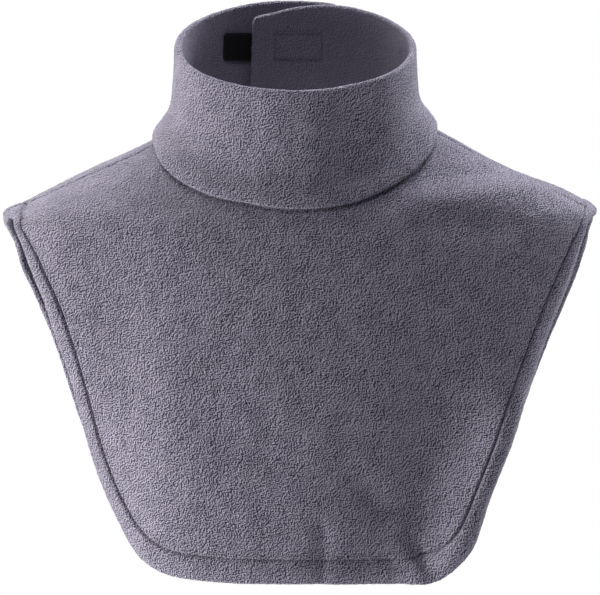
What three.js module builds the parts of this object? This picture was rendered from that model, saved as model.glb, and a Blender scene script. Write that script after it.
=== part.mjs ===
import * as THREE from "three";

// Millimetres, +Z up. The front faces -Y, and the origin is the middle of the neckline.
// psi is the angle round the torso and phi round the neck: 0 at the front, 90 at +X, 180 at the back.

const fleece = { layer: 2.2, collarHalf: 2.3, gap: 0.3 };
const hem = { fold: 17.5, stitchLine: 15, grooveHalf: 1.8, grooveDeep: 0.7, rise: 0.3 };
const seam = { gap: 0.25, allowance: 8, roll: 2, rollDeep: 0.9, ledge: 5 };
const neck = { half: 85, front: 79.5, back: 64 };
const rim = { half: 74.3, depth: 61.8, centreY: -8, middle: 57.6, slant: 28.4 };
const overlap = { from: 168, to: 203, spacing: 8.4, footSpacing: 5.6, liftFrom: 156, lift: 8 };
const collarEnds = { outer: -201.5, inner: 204.5 };
const tape = { bottom: 49, top: 67, thick: 1.2, corner: 3, gap: 0.4 };

// The hem's two faces from the middle of the cloth, the roll at its edge, and where it ends.
const outerHem = fleece.layer / 2 + hem.rise;
const innerHem = 1.5 * fleece.layer;
const foldRadius = (outerHem + innerHem) / 2;
const hemClear = hem.fold + 1.5;

// The stretch of edge that the hem's width is squared to, and how often its end is eased: both
// keep it open in the corners.
const edgeRound = 22;
const easing = 8;

// The form that the panels lie on, by height: half widths to each side, depth to front and back.
const torso = [
  { z: -275, left: 118, right: 122, front: 112.5, back: 84 },
  { z: -230, left: 131, right: 135, front: 112.5, back: 92 },
  { z: -190, left: 143.5, right: 148.5, front: 112, back: 98.5 },
  { z: -160, left: 152.5, right: 158.5, front: 111, back: 101.5 },
  { z: -130, left: 163, right: 170.5, front: 108, back: 102.5 },
  { z: -100, left: 176, right: 183.5, front: 102, back: 101 },
  { z: -84, left: 183.5, right: 189.5, front: 98, back: 99.5 },
  { z: -68, left: 188, right: 193, front: 92.5, back: 97 },
  { z: -56, left: 190, right: 194, front: 87.5, back: 94.5 },
  { z: -48, left: 184, right: 191.5, front: 83.5, back: 92.5 },
  { z: -42, left: 173, right: 185.5, front: 79.5, back: 91 },
  { z: -35, left: 159.5, right: 174, front: 73.5, back: 89 },
  { z: -22, left: 134, right: 140.5, front: 61.5, back: 84.5 },
  { z: -12, left: 111.5, right: 119.5, front: 53.5, back: 79.5 },
  { z: -6, left: 98.5, right: 109, front: 49, back: 76.5 },
  { z: 0, left: 87, right: 98, front: 45, back: 73 },
  { z: 6, left: 80, right: 87, front: 40, back: 69 },
  { z: 18, left: 68, right: 70, front: 32, back: 60 },
  { z: 28, left: 59, right: 60, front: 26, back: 52 },
];

// How far the neckline reaches past its plain oval, round the neck.
const neckReach = [
  { phi: -180, reach: 1 },
  { phi: -95, reach: 1 },
  { phi: -75, reach: 1.05 },
  { phi: -56, reach: 1.1 },
  { phi: -38, reach: 1.07 },
  { phi: -18, reach: 1.01 },
  { phi: 0, reach: 1 },
  { phi: 30, reach: 1.04 },
  { phi: 60, reach: 1.07 },
  { phi: 95, reach: 1 },
  { phi: 180, reach: 1 },
];

// The panels' free edges, from the +X shoulder tip to the -X one for the back.
const frontEdge = [
  { psi: -83, z: -48.5 },
  { psi: -71, z: -51 },
  { psi: -65.3, z: -62 },
  { psi: -62.3, z: -92 },
  { psi: -63.6, z: -123 },
  { psi: -63, z: -153 },
  { psi: -64, z: -183 },
  { psi: -63.2, z: -214 },
  { psi: -57.6, z: -242 },
  { psi: -50, z: -258 },
  { psi: -39, z: -266.5 },
  { psi: -21, z: -269 },
  { psi: 4, z: -269 },
  { psi: 30, z: -270 },
  { psi: 43.5, z: -268.8 },
  { psi: 50.9, z: -260.2 },
  { psi: 57.2, z: -244 },
  { psi: 58.5, z: -214 },
  { psi: 61.3, z: -183 },
  { psi: 62.6, z: -153 },
  { psi: 63.7, z: -123 },
  { psi: 64.8, z: -92 },
  { psi: 68, z: -62 },
  { psi: 75, z: -50 },
  { psi: 98, z: -48 },
];
const backEdge = [
  { psi: 98, z: -48 },
  { psi: 103, z: -58 },
  { psi: 105, z: -80 },
  { psi: 105, z: -125 },
  { psi: 105, z: -170 },
  { psi: 107, z: -193 },
  { psi: 114, z: -213 },
  { psi: 126, z: -229 },
  { psi: 143, z: -238 },
  { psi: 180, z: -242 },
  { psi: 217, z: -238 },
  { psi: 234, z: -229 },
  { psi: 246, z: -213 },
  { psi: 253, z: -193 },
  { psi: 255, z: -170 },
  { psi: 255, z: -125 },
  { psi: 255.5, z: -86 },
  { psi: 259, z: -66 },
  { psi: 267, z: -54 },
  { psi: 277, z: -48.5 },
];

// Where each shoulder seam leaves the neckline, and how it bows on its way to the tip, in degrees.
const seams = {
  left: { phi: -78.5, bow: 3 },
  right: { phi: 82, bow: 0 },
};

// Folds of the front: a soft ridge (out > 0) or valley from one point to the other.
const frontFolds = [
  { x0: 84, z0: -38, x1: 146, z1: -30, wide: 8, out: 2.6 },
  { x0: 78, z0: -50, x1: 132, z1: -52, wide: 10, out: -2.2 },
  { x0: -70, z0: -52, x1: -140, z1: -48, wide: 14, out: 1.6 },
  { x0: 84, z0: -120, x1: 76, z1: -226, wide: 13, out: -3.6 },
  { x0: 44, z0: -214, x1: 80, z1: -252, wide: 7, out: -4 },
  { x0: 30, z0: -238, x1: 60, z1: -231, wide: 7, out: 3 },
  { x0: 60, z0: -231, x1: 74, z1: -268, wide: 7, out: 3 },
  { x0: 16, z0: -238, x1: 15, z1: -276, wide: 4, out: -2.4 },
  { x0: -60, z0: -196, x1: -62, z1: -276, wide: 15, out: 1.8 },
  { x0: -78, z0: -146, x1: -82, z1: -250, wide: 20, out: 4 },
  { x0: -14, z0: -190, x1: -16, z1: -276, wide: 14, out: -1 },
];
// The same, but swung straight forward where the bib stands off the chest.
const frontFlares = [
  { x0: 137, z0: -172, x1: 106, z1: -258, wide: 33, out: 29 },
  { x0: 130, z0: -190, x1: 111, z1: -240, wide: 20, out: 17 },
  { x0: 168, z0: -96, x1: 154, z1: -130, wide: 32, out: 5 },
  { x0: -150, z0: -118, x1: -139, z1: -150, wide: 30, out: 12 },
  { x0: 8, z0: -170, x1: 8, z1: -290, wide: 60, out: -3 },
];
const backFolds = [
  { x0: -46, z0: -150, x1: -52, z1: -246, wide: 14, out: 2.4 },
  { x0: 2, z0: -170, x1: 0, z1: -246, wide: 14, out: -2.2 },
  { x0: 50, z0: -140, x1: 58, z1: -240, wide: 14, out: 2.4 },
  { x0: -60, z0: -30, x1: -120, z1: -70, wide: 12, out: -1.8 },
  { x0: 60, z0: -30, x1: 120, z1: -70, wide: 12, out: -1.8 },
];
const collarFolds = [
  { phi: -52, up: 0.55, wide: 16, tall: 0.5, out: 1.4 },
  { phi: 0, up: 0.62, wide: 4, tall: 0.3, out: -0.7 },
  { phi: 26, up: 0.55, wide: 10, tall: 0.6, out: -6.5 },
  { phi: 50, up: 0.45, wide: 14, tall: 0.5, out: 1.2 },
  { phi: 118, up: 0.5, wide: 12, tall: 0.4, out: -1.2 },
  { phi: -120, up: 0.5, wide: 12, tall: 0.4, out: 1.2 },
];

// How far the collar has come in from its foot to its rim, by height.
const collarLean = [
  { up: 0, come: 0 },
  { up: 0.06, come: 0.12 },
  { up: 0.12, come: 0.31 },
  { up: 0.18, come: 0.5 },
  { up: 0.25, come: 0.68 },
  { up: 0.36, come: 0.82 },
  { up: 0.55, come: 0.9 },
  { up: 0.75, come: 0.96 },
  { up: 1, come: 1 },
];

// How much lower the rim runs towards the collar's two ends.
const rimDrop = [
  { phi: -201.5, drop: 6 },
  { phi: -200.3, drop: 2.6 },
  { phi: -198, drop: 1 },
  { phi: -190, drop: 0.3 },
  { phi: -175, drop: 0 },
  { phi: 150, drop: 1 },
  { phi: 165, drop: 1.5 },
  { phi: 180, drop: 3.5 },
  { phi: 192, drop: 7 },
  { phi: 200, drop: 10 },
  { phi: 203, drop: 12.2 },
  { phi: 204.5, drop: 16 },
];

const rad = THREE.MathUtils.degToRad;
const deg = THREE.MathUtils.radToDeg;
const { smoothstep, lerp } = THREE.MathUtils;
const bell = (distance, width) => Math.exp(-((distance / width) ** 2));

// A smooth curve through a table's rows that never overshoots them.
function track(rows, key, value) {
  const at = rows.map((row) => row[key]);
  const to = rows.map((row) => row[value]);
  const steps = at.slice(1).map((a, i) => a - at[i]);
  const slopes = steps.map((step, i) => (to[i + 1] - to[i]) / step);
  const lean = at.map((_, i) => {
    if (i === 0) return slopes[0];
    if (i === at.length - 1) return slopes[i - 1];
    if (slopes[i - 1] * slopes[i] <= 0) return 0;
    const before = 2 * steps[i] + steps[i - 1];
    const after = steps[i] + 2 * steps[i - 1];
    return (before + after) / (before / slopes[i - 1] + after / slopes[i]);
  });
  return (x) => {
    const p = THREE.MathUtils.clamp(x, at[0], at[at.length - 1]);
    const i = Math.max(0, at.findLastIndex((a, k) => a <= p && k < at.length - 1));
    const t = (p - at[i]) / steps[i];
    const s = 1 - t;
    return (
      to[i] * (1 + 2 * t) * s * s +
      lean[i] * steps[i] * t * s * s +
      to[i + 1] * t * t * (3 - 2 * t) -
      lean[i + 1] * steps[i] * t * t * s
    );
  };
}

const widthLeft = track(torso, "z", "left");
const widthRight = track(torso, "z", "right");
const depthFront = track(torso, "z", "front");
const depthBack = track(torso, "z", "back");
const reachAt = track(neckReach, "phi", "reach");
const leanAt = track(collarLean, "up", "come");
const dropAt = track(rimDrop, "phi", "drop");

const halfWidth = (x, z) => (x < 0 ? widthLeft(z) : widthRight(z));
const halfDepth = (y, z) => (y < 0 ? depthFront(z) : depthBack(z));

function foldHeight(folds, x, z) {
  let height = 0;
  for (const fold of folds) {
    const length = Math.hypot(fold.x1 - fold.x0, fold.z1 - fold.z0);
    const alongX = (fold.x1 - fold.x0) / length;
    const alongZ = (fold.z1 - fold.z0) / length;
    const along = (x - fold.x0) * alongX + (z - fold.z0) * alongZ;
    const across = (z - fold.z0) * alongX - (x - fold.x0) * alongZ;
    const past = Math.max(0, -along, along - length);
    height += fold.out * bell(across, fold.wide) * bell(past, 1.6 * fold.wide);
  }
  return height;
}

function torsoPoint(psi, z) {
  const side = Math.sin(rad(psi));
  const ahead = Math.cos(rad(psi));
  return new THREE.Vector3(halfWidth(side, z) * side, -halfDepth(-ahead, z) * ahead, z);
}

function normalOf(pointAt, a, b, stepA, stepB) {
  const overA = pointAt(a + stepA, b).sub(pointAt(a - stepA, b));
  const overB = pointAt(a, b + stepB).sub(pointAt(a, b - stepB));
  return overA.cross(overB).normalize();
}

// The middle of the cloth of a panel, with its folds.
function panelPoint(psi, z) {
  const plain = torsoPoint(psi, z);
  const out = normalOf(torsoPoint, psi, z, 0.2, 0.2);
  const facing = smoothstep(Math.abs(Math.cos(rad(psi))), 0.05, 0.4);
  const inFront = plain.y < 0;
  const height = facing * foldHeight(inFront ? frontFolds : backFolds, plain.x, z);
  const flare = inFront ? facing * foldHeight(frontFlares, plain.x, z) : 0;
  plain.addScaledVector(out, height);
  plain.y -= flare;
  return plain;
}

const panelNormal = (psi, z) => normalOf(panelPoint, psi, z, 0.2, 0.2);

// The neckline, on the middle of the panels' cloth, as a psi and a height.
function neckline(phi) {
  const turn = phi - 360 * Math.round(phi / 360);
  const reach = reachAt(turn);
  const x = neck.half * reach * Math.sin(rad(turn));
  const ahead = Math.cos(rad(turn));
  const y = -(ahead > 0 ? neck.front : neck.back) * reach * ahead;
  let low = -60;
  let high = 28;
  for (let i = 0; i < 40; i++) {
    const z = (low + high) / 2;
    const inside = (x / halfWidth(x, z)) ** 2 + (y / halfDepth(y, z)) ** 2 < 1;
    if (inside) low = z;
    else high = z;
  }
  const psi = deg(Math.atan2(x / halfWidth(x, low), -y / halfDepth(y, low)));
  return new THREE.Vector2(psi + 360 * Math.round((phi - psi) / 360), low);
}

// A line on a panel, measured along the cloth: at(d) is its psi and height at distance d.
function measured(curve, steps) {
  const spots = Array.from({ length: steps + 1 }, (_, i) => curve(i / steps));
  const marks = [0];
  for (let i = 1; i <= steps; i++) {
    const here = torsoPoint(spots[i].x, spots[i].y);
    marks.push(marks[i - 1] + here.distanceTo(torsoPoint(spots[i - 1].x, spots[i - 1].y)));
  }
  const total = marks[steps];
  const at = (distance) => {
    const d = THREE.MathUtils.clamp(distance, 0, total);
    const i = Math.min(steps - 1, Math.max(0, marks.findLastIndex((mark) => mark <= d)));
    return spots[i].clone().lerp(spots[i + 1], (d - marks[i]) / (marks[i + 1] - marks[i]));
  };
  return { at, total };
}

// The step in psi and height that moves a point along the cloth by the given vector.
function stepOn(psi, z, move) {
  const overPsi = torsoPoint(psi + 0.5, z).sub(torsoPoint(psi - 0.5, z));
  const overZ = torsoPoint(psi, z + 0.5).sub(torsoPoint(psi, z - 0.5));
  const pp = overPsi.dot(overPsi);
  const zz = overZ.dot(overZ);
  const pz = overPsi.dot(overZ);
  const p = overPsi.dot(move);
  const q = overZ.dot(move);
  const scale = 1 / (pp * zz - pz * pz);
  return new THREE.Vector2((p * zz - q * pz) * scale, (q * pp - p * pz) * scale);
}

// The spot that lies a distance away over the cloth, as straight as the cloth allows.
function tracedTo(spot, heading, distance, steps) {
  const way = heading.clone();
  let here = spot.clone();
  for (let i = 0; i < steps; i++) {
    const out = normalOf(torsoPoint, here.x, here.y, 0.2, 0.2);
    way.addScaledVector(out, -way.dot(out)).normalize();
    here = here.add(stepOn(here.x, here.y, way.clone().multiplyScalar(distance / steps)));
  }
  return here;
}

// Closes a row of rings, each a loop of points, into one solid.
function solidOfRings(rings) {
  const size = rings[0].length;
  const positions = rings.flat().flatMap((point) => point.toArray());
  const index = [];
  for (let i = 0; i + 1 < rings.length; i++) {
    for (let k = 0; k < size; k++) {
      const a = i * size + k;
      const b = i * size + ((k + 1) % size);
      index.push(a, a + size, b, b, a + size, b + size);
    }
  }
  // Each end is closed by a strip between the ring's two sides.
  const capOf = (ring) => {
    const triangles = [];
    let a = 0;
    let b = size - 1;
    while (b - a > 1) {
      if (ring[a + 1].distanceTo(ring[b]) < ring[a].distanceTo(ring[b - 1])) {
        triangles.push([a, a + 1, b]);
        a += 1;
      } else {
        triangles.push([a, b - 1, b]);
        b -= 1;
      }
    }
    return triangles;
  };
  const last = (rings.length - 1) * size;
  for (const [a, b, c] of capOf(rings[0])) index.push(a, b, c);
  for (const [a, b, c] of capOf(rings[rings.length - 1])) index.push(last + a, last + c, last + b);
  const geometry = new THREE.BufferGeometry();
  geometry.setAttribute("position", new THREE.Float32BufferAttribute(positions, 3));
  geometry.setIndex(index);
  geometry.computeVertexNormals();
  return geometry;
}

// Distances along a line: close ones for the seam at each end, and wider ones between, which
// a fan below 1 crowds towards the middle.
function columnMarks(total, between, fan) {
  const near = [0, seam.roll, seam.allowance, seam.allowance + 1.5];
  const edge = near[near.length - 1];
  const middle = [];
  for (let i = 1; i < between; i++) {
    const t = (2 * i) / between;
    const share = t < 1 ? t ** fan / 2 : 1 - (2 - t) ** fan / 2;
    middle.push(lerp(edge, total - edge, share));
  }
  return [...near, ...middle, ...near.map((d) => total - d).reverse()];
}

function panel({ edge, neckFrom, neckTo, bowFrom, bowTo, columns, fan, outerRows, innerRows }) {
  const spline = new THREE.SplineCurve(edge.map((row) => new THREE.Vector2(row.psi, row.z)));
  const free = measured((t) => spline.getPoint(t), 400);
  const top = measured((t) => neckline(lerp(neckFrom, neckTo, t)), 200);
  const freeMarks = columnMarks(free.total, columns, 1);
  const topMarks = columnMarks(top.total, columns, fan);

  // Where the hem ends on the panel, eased so that it turns the corners without bunching.
  const ends = freeMarks.map((mark) => free.at(mark));
  const starts = topMarks.map((mark) => top.at(mark));
  let inners = ends.map((end, i) => {
    const start = starts[i];
    const fromEnds = Math.min(freeMarks[i], free.total - freeMarks[i]);
    const before = free.at(freeMarks[i] - edgeRound);
    const after = free.at(freeMarks[i] + edgeRound);
    const run = torsoPoint(after.x, after.y).sub(torsoPoint(before.x, before.y)).normalize();
    const out = normalOf(torsoPoint, end.x, end.y, 0.2, 0.2);
    const inward = out.clone().cross(run).normalize();
    const towardNeck = torsoPoint(lerp(end.x, start.x, 0.1), lerp(end.y, start.y, 0.1));
    towardNeck.sub(torsoPoint(end.x, end.y)).normalize();
    inward.lerp(towardNeck, 1 - smoothstep(fromEnds, 0, 60)).normalize();
    return tracedTo(end, inward, hemClear, 8);
  });
  for (let pass = 0; pass < easing; pass++) {
    inners = inners.map((spot, i) => {
      if (i < 1 || i > inners.length - 2) return spot;
      return inners[i - 1].clone().add(inners[i + 1]).multiplyScalar(0.25).addScaledVector(spot, 0.5);
    });
  }

  const rings = freeMarks.map((mark, i) => {
    const end = ends[i];
    const start = starts[i];
    const inner = inners[i];
    const hemSpot = (distance) => end.clone().lerp(inner, distance / hemClear);
    const fromEnds = Math.min(mark, free.total - mark);
    const bow = (mark < free.total / 2 ? bowFrom : bowTo) * Math.exp(-fromEnds / 60);
    const bodySpot = (t) =>
      new THREE.Vector2(lerp(start.x, inner.x, t) + bow * 4 * t * (1 - t), lerp(start.y, inner.y, t));
    const bodyLength = torsoPoint(start.x, start.y).distanceTo(torsoPoint(inner.x, inner.y));
    const ledgeSpot = bodySpot(-seam.ledge / bodyLength);

    const seamDistance = Math.min(fromEnds, Math.min(topMarks[i], top.total - topMarks[i]));
    const atSeam = seamDistance < seam.allowance + 0.5;
    const rolled = seamDistance < 0.5 ? seam.rollDeep : 0;
    const shift = seamDistance < 0.5 ? (mark < 1 ? seam.gap : -seam.gap) : 0;

    const lift = (spot, offset) => {
      const point = panelPoint(spot.x, spot.y);
      const normal = panelNormal(spot.x, spot.y);
      if (shift) {
        const sideways = panelPoint(spot.x + 0.5, spot.y).sub(panelPoint(spot.x - 0.5, spot.y));
        point.addScaledVector(sideways.normalize(), shift);
      }
      return point.addScaledVector(normal, offset);
    };
    const plainOut = fleece.layer / 2 - rolled;
    const plainIn = -(atSeam ? innerHem : fleece.layer / 2);
    const hemOut = outerHem - rolled;

    const ring = [lift(ledgeSpot, plainOut)];
    for (let k = 0; k < outerRows; k++) ring.push(lift(bodySpot((k / outerRows) ** 1.1), plainOut));
    ring.push(lift(inner, plainOut));
    ring.push(lift(hemSpot(hem.stitchLine + hem.grooveHalf), hemOut - 0.1));
    ring.push(lift(hemSpot(hem.stitchLine), hemOut - hem.grooveDeep));
    ring.push(lift(hemSpot(hem.stitchLine - hem.grooveHalf), hemOut));
    ring.push(lift(hemSpot(hem.stitchLine / 2), hemOut));

    const foldSpot = hemSpot(foldRadius);
    const foldMiddle = lift(foldSpot, (hemOut - innerHem) / 2);
    const foldOut = panelNormal(foldSpot.x, foldSpot.y);
    const outward = lift(hemSpot(0), 0).sub(lift(hemSpot(hem.fold / 3), 0));
    outward.addScaledVector(foldOut, -outward.dot(foldOut)).normalize();
    const radius = (hemOut + innerHem) / 2;
    for (const turn of [90, 50, 10, -30, -65, -90]) {
      const point = foldMiddle.clone();
      point.addScaledVector(outward, foldRadius * Math.cos(rad(turn)));
      point.addScaledVector(foldOut, radius * Math.sin(rad(turn)));
      ring.push(point);
    }
    ring.push(lift(hemSpot(hem.stitchLine - hem.grooveHalf), -innerHem));
    ring.push(lift(hemSpot(hem.fold), -innerHem));
    ring.push(lift(inner, plainIn));
    for (let k = innerRows - 1; k >= 0; k--) ring.push(lift(bodySpot((k / innerRows) ** 1.1), plainIn));
    ring.push(lift(ledgeSpot, plainIn));
    ring.push(lift(bodySpot(-(seam.ledge + 0.6) / bodyLength), (plainOut + plainIn) / 2));
    return ring.reverse();
  });
  return solidOfRings(rings);
}

// How far a collar layer stands in or out where its two ends pass each other.
function spiral(phi, share) {
  const spacing = lerp(overlap.footSpacing, overlap.spacing, smoothstep(share, 0.1, 0.4));
  if (phi > 0) return -spacing * smoothstep(phi, overlap.from, overlap.to);
  return spacing * (1 - smoothstep(phi + 360, overlap.from, overlap.to));
}

// The middle of the collar's doubled band, up from 0 at its foot to 1 at its rim.
function collarPoint(phi, up) {
  const spot = neckline(phi);
  const foot = panelPoint(spot.x, spot.y);
  const rest = fleece.layer / 2 + fleece.gap + fleece.collarHalf;
  foot.addScaledVector(panelNormal(spot.x, spot.y), rest);
  const side = Math.sin(rad(phi));
  const ahead = Math.cos(rad(phi));
  const top = new THREE.Vector3(rim.half * side, rim.centreY - rim.depth * ahead, 0);
  top.z = rim.middle - rim.slant * ahead;
  const lift = overlap.lift * smoothstep(phi, overlap.liftFrom, overlap.from);
  const z = lerp(foot.z + lift, top.z - dropAt(phi), up);
  const share = THREE.MathUtils.clamp((z - foot.z) / (top.z - foot.z), 0, 1);
  const out = new THREE.Vector3(side / rim.half, -ahead / rim.depth, 0).normalize();
  let away = spiral(phi, share);
  for (const fold of collarFolds) {
    const height = bell(phi - fold.phi, fold.wide) * bell(share - fold.up, fold.tall);
    away += fold.out * height * smoothstep(share, 0, 0.2);
  }
  const point = foot.clone().lerp(top, leanAt(share));
  point.z = z;
  return point.addScaledVector(out, away);
}

function collarNormal(phi, up) {
  return normalOf(collarPoint, phi, THREE.MathUtils.clamp(up, 0.02, 0.98), 0.5, 0.02);
}

function collarSolid() {
  const phis = [];
  const columns = 84;
  const ends = [0, 0.7, 2];
  const { outer, inner } = collarEnds;
  for (const d of ends) phis.push(outer + d);
  for (let i = 1; i < columns; i++) phis.push(lerp(outer + 2, inner - 2, i / columns));
  for (const d of [...ends].reverse()) phis.push(inner - d);
  const ups = [0, 0.07, 0.15, 0.26, 0.4, 0.58, 0.78, 1];
  const rings = phis.map((phi) => {
    const fromEnd = Math.min(phi - outer, inner - phi);
    const half = fleece.collarHalf * (fromEnd < 0.3 ? 0.5 : fromEnd < 1 ? 0.86 : 1);
    const lift = (up, offset) => collarPoint(phi, up).addScaledVector(collarNormal(phi, up), offset);
    const turned = (up, way, turn) => {
      const middle = collarPoint(phi, up);
      const normal = collarNormal(phi, up);
      const along = collarPoint(phi, up - 0.03 * way).sub(middle).negate();
      along.addScaledVector(normal, -along.dot(normal)).normalize();
      middle.addScaledVector(along, half * Math.cos(rad(turn)));
      return middle.addScaledVector(normal, half * Math.sin(rad(turn)));
    };
    return [
      ...ups.map((up) => lift(up, half)),
      ...[50, 0, -50].map((turn) => turned(1, 1, turn)),
      ...[...ups].reverse().map((up) => lift(up, -half)),
      ...[-50, 0, 50].map((turn) => turned(0, -1, turn)),
    ];
  });
  return solidOfRings(rings);
}

// A piece of tape on a face of the collar, between two heights.
function tapeSolid({ from, to, inset, columns }) {
  const heightShare = (phi, z) => {
    let low = 0;
    let high = 1;
    for (let i = 0; i < 24; i++) {
      const middle = (low + high) / 2;
      if (collarPoint(phi, middle).z < z) low = middle;
      else high = middle;
    }
    return low;
  };
  const perDegree = collarPoint(to, 0.6).distanceTo(collarPoint(to - 1, 0.6));
  const round = tape.corner / perDegree;
  const marks = [0, 0.12 * round, 0.45 * round, round];
  const phis = [...marks.map((d) => from + d)];
  for (let i = 1; i < columns; i++) phis.push(lerp(from + round, to - round, i / columns));
  phis.push(...marks.map((d) => to - d).reverse());
  const rings = phis.map((phi) => {
    const fromEnd = Math.min(phi - from, to - phi) * perDegree;
    const short = Math.max(0, tape.corner - fromEnd);
    const cut = tape.corner - Math.sqrt(Math.max(0, tape.corner ** 2 - short ** 2));
    const levels = [0, 0.33, 0.67, 1].map((t) => lerp(tape.bottom + cut, tape.top - cut, t));
    const face = (z, offset) => {
      const up = heightShare(phi, z);
      return collarPoint(phi, up).addScaledVector(collarNormal(phi, up), offset);
    };
    const near = Math.max(inset, inset + Math.sign(inset) * tape.thick);
    const far = Math.min(inset, inset + Math.sign(inset) * tape.thick);
    return [
      ...levels.map((z) => face(z, near)),
      ...[...levels].reverse().map((z) => face(z, far)),
    ];
  });
  return solidOfRings(rings);
}

const fleeceLook = new THREE.MeshStandardMaterial({ color: 0x625e6d, roughness: 0.95, metalness: 0 });
const tapeLook = new THREE.MeshStandardMaterial({ color: 0x0b0b0d, roughness: 0.8, metalness: 0 });

function named(name, geometry, material) {
  const mesh = new THREE.Mesh(geometry, material);
  mesh.name = name;
  return mesh;
}

const onFace = fleece.collarHalf + tape.gap;
const neckWarmer = new THREE.Group();
neckWarmer.name = "neck_warmer";
neckWarmer.add(
  named(
    "front_panel",
    panel({
      edge: frontEdge,
      neckFrom: seams.left.phi,
      neckTo: seams.right.phi,
      bowFrom: seams.left.bow,
      bowTo: seams.right.bow,
      columns: 54,
      fan: 0.85,
      outerRows: 12,
      innerRows: 6,
    }),
    fleeceLook,
  ),
  named(
    "back_panel",
    panel({
      edge: backEdge,
      neckFrom: seams.right.phi,
      neckTo: seams.left.phi + 360,
      bowFrom: seams.right.bow,
      bowTo: seams.left.bow,
      columns: 44,
      fan: 0.5,
      outerRows: 9,
      innerRows: 6,
    }),
    fleeceLook,
  ),
  named("collar", collarSolid(), fleeceLook),
  named("loop_patch", tapeSolid({ from: -195, to: -140, inset: -onFace, columns: 12 }), tapeLook),
  named("hook_patch", tapeSolid({ from: 166, to: 192.5, inset: onFace, columns: 8 }), tapeLook),
);

export default neckWarmer;
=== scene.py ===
import math

import bpy
import numpy as np
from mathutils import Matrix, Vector, noise


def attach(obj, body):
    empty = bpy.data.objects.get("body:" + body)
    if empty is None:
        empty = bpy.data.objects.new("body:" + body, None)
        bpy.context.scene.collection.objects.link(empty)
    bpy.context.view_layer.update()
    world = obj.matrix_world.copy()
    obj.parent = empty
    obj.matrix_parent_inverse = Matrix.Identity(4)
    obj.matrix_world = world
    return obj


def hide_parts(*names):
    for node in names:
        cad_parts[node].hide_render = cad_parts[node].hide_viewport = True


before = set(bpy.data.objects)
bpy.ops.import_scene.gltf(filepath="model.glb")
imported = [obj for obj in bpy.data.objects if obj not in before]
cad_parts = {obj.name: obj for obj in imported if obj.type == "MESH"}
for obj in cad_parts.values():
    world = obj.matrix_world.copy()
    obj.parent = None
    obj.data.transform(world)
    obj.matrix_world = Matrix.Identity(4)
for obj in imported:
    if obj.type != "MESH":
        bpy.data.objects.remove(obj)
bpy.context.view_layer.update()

print("frame loaded:", ", ".join(sorted(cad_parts)))

# Sizes are in millimetres until a mesh is made, and in metres for the floor and the lights. psi goes
# round the torso and phi round the neck: 0 at the front, 90 towards +X, 180 at the back.

view = {
    "target": (2.9, 0, -102),
    "looksDown": 4.5,
    "distance": 2000,
    "lens": 187.5,
    "sensor": 36,
    "clipFrom": 0.05,
    "clipTo": 60,
}

cloth = {
    "layer": 2.2,
    "collarHalf": 2.3,
    "gap": 0.3,
    "napLump": (2.3, 0.3),       # length and height of the pile's lumps
    "napWave": (13, 0.16),       # and of the slower unevenness
    "sag": (46, 0.3),            # and of the cloth's own
}
hem = {
    "fold": 17.5,                # how much cloth is turned under
    "foldEnd": 0.3,              # its cut edge slopes back over this
    "clear": 19,                 # where the panel is one layer again
    "stitchLine": 15,
    "stepWide": 2.4,             # the turned edge, felt through the outer layer
    "grooveHalf": 0.85,
    "rise": 0.3,
    "puff": 1.2,
    "puffRound": 0.8,            # under 1, the puff is full near both its edges
    "cornerReach": 60,           # within this of a shoulder tip the hem turns towards the neck
}
seam = {
    "gap": 0.25,
    "allowance": 8,
    "lip": 0.6,
    "roll": 3,
    "rollDeep": 1.6,
    "ledge": 5,                  # how far a panel runs on under the collar
    "bowReach": 60,
}
neck = {"half": 85, "front": 79.5, "back": 64}
neckSearch = {"low": -60.0, "high": 28.0, "halvings": 40}
rim = {"half": 74.3, "depth": 61.8, "centreY": -8, "middle": 57.6, "slant": 28.4}
overlap = {"from": 168, "to": 203, "spacing": 8.4, "footSpacing": 5.6, "liftFrom": 156, "lift": 8}

torsoForm = [  # height, half width to the left and right, depth to the front and back
    (-275, 118, 122, 112.5, 84),
    (-230, 131, 135, 112.5, 92),
    (-190, 143.5, 148.5, 112, 98.5),
    (-160, 152.5, 158.5, 111, 101.5),
    (-130, 163, 170.5, 108, 102.5),
    (-100, 176, 183.5, 102, 101),
    (-84, 183.5, 189.5, 98, 99.5),
    (-68, 188, 193, 92.5, 97),
    (-56, 190, 194, 87.5, 94.5),
    (-48, 184, 191.5, 83.5, 92.5),
    (-42, 173, 185.5, 79.5, 91),
    (-35, 159.5, 174, 73.5, 89),
    (-22, 134, 140.5, 61.5, 84.5),
    (-12, 111.5, 119.5, 53.5, 79.5),
    (-6, 98.5, 109, 49, 76.5),
    (0, 87, 98, 45, 73),
    (6, 80, 87, 40, 69),
    (18, 68, 70, 32, 60),
    (28, 59, 60, 26, 52),
]
neckReach = [  # phi, how far the neckline reaches past its plain oval
    (-180, 1), (-95, 1), (-75, 1.05), (-56, 1.1), (-38, 1.07), (-18, 1.01),
    (0, 1), (30, 1.04), (60, 1.07), (95, 1), (180, 1),
]
frontFolds = [  # x and z at both ends, width, height: a ridge stands out, a valley is negative
    (84, -38, 146, -30, 8, 2.6),
    (78, -50, 132, -52, 10, -2.2),
    (-70, -52, -140, -48, 14, 1.6),
    (84, -120, 76, -226, 13, -3.6),
    (44, -214, 80, -252, 7, -4),
    (30, -238, 60, -231, 7, 3),
    (60, -231, 74, -268, 7, 3),
    (16, -238, 15, -276, 4, -2.4),
    (-60, -196, -62, -276, 15, 1.8),
    (-78, -146, -82, -250, 20, 4),
    (-14, -190, -16, -276, 14, -1),
]
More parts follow.
